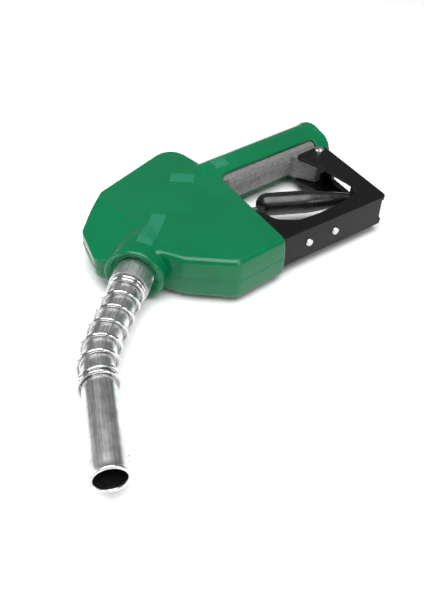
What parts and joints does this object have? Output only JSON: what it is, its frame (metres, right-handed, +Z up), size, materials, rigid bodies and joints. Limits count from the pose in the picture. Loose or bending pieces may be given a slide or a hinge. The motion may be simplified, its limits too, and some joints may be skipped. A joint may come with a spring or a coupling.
{
  "type": "fuel nozzle",
  "caption": "Automatic shut-off fuel dispensing nozzle with a green scuff cover, bent spout with guard spring, squeeze lever and hand guard.",
  "frame": {"origin": "middle of the bounding box at the level of the surface the nozzle lies on", "axes": "+Z up with the nozzle lying on its side, +X along the handle axis from the hose inlet towards the spout, +Y from the handle towards the guard and lever"},
  "size_m": [0.3624, 0.25, 0.0416],
  "materials": {
    "green_cover": "soft moulded vinyl, semi-gloss green",
    "cast_aluminium": "as cast, slightly rough grey",
    "bright_aluminium": "drawn and lightly polished",
    "spring_steel": "bright wire",
    "steel": "plated steel",
    "dark_steel": "black painted steel",
    "black_plastic": "fine-grained black plastic",
    "black_vinyl": "glossy black dipped vinyl",
    "brass": "turned brass",
    "black_rubber": "black nitrile"
  },
  "bodies": {
    "body": {"body_casting": "cast_aluminium", "scuff_cover": "green_cover", "inlet_strainer": "steel", "main_valve_seat": "brass", "main_spring": "spring_steel", "poppet_cap": "cast_aluminium", "stem_packing": "black_rubber", "packing_nut": "brass", "latch_ring": "steel", "diaphragm_spring": "spring_steel", "check_valve_seat": "brass", "check_valve_spring": "spring_steel", "check_valve_guide": "brass", "spout_bushing": "bright_aluminium", "spout_screw": "steel", "spout": "bright_aluminium", "spout_spring": "spring_steel", "vent_tube": "bright_aluminium", "vent_ferrule": "bright_aluminium", "guard": "black_plastic", "guard_screw": "steel", "guard_nut": "steel", "guard_pin": "steel", "hold_open_rack": "steel", "rack_rivet_1": "steel", "rack_rivet_2": "steel"},
    "plunger": {"trip_plunger": "steel", "lever_pin": "steel", "latch_ball_1": "steel", "latch_ball_2": "steel", "latch_ball_3": "steel"},
    "lever": {"lever": "dark_steel", "lever_sleeve": "black_vinyl", "latch_pivot_pin": "steel"},
    "latch": {"hold_open_latch": "dark_steel"},
    "stem": {"main_stem": "steel", "main_poppet": "brass", "poppet_seal": "black_rubber"},
    "trip_pin": {"latch_pin": "steel", "diaphragm": "black_rubber"},
    "check_valve": {"check_valve_poppet": "brass"}
  },
  "joints": [
    {"name": "trip_travel", "type": "slide", "parent": "body", "child": "plunger", "axis": [0, 1, 0], "range_m": [0, 0.008], "stiffness_N_per_m": 300},
    {"name": "lever_squeeze", "type": "hinge", "parent": "plunger", "child": "lever", "pos_m": [0.01328, 0.00739, 0.0208], "axis": [0, 0, 1], "range_deg": [0, 14], "stiffness_Nm_per_rad": 2},
    {"name": "latch_swing", "type": "hinge", "parent": "lever", "child": "latch", "pos_m": [-0.04872, -0.01461, 0.0208], "axis": [0, 0, 1], "range_deg": [0, 25], "stiffness_Nm_per_rad": 0.02},
    {"name": "stem_lift", "type": "slide", "parent": "body", "child": "stem", "axis": [0, -1, 0], "range_m": [0, 0.0107], "deforming": ["main_spring"]},
    {"name": "trip_pin_lift", "type": "slide", "parent": "body", "child": "trip_pin", "axis": [0, -1, 0], "range_m": [0, 0.002], "stiffness_N_per_m": 200, "deforming": ["diaphragm_spring"]},
    {"name": "check_valve_open", "type": "slide", "parent": "body", "child": "check_valve", "axis": [0.7694, 0.6388, 0], "range_m": [0, 0.004], "stiffness_N_per_m": 200, "deforming": ["check_valve_spring"]}
  ],
  "couplings": [
    {"joint": "stem_lift", "follows": "lever_squeeze", "m_per_rad": 0.0437}
  ]
}
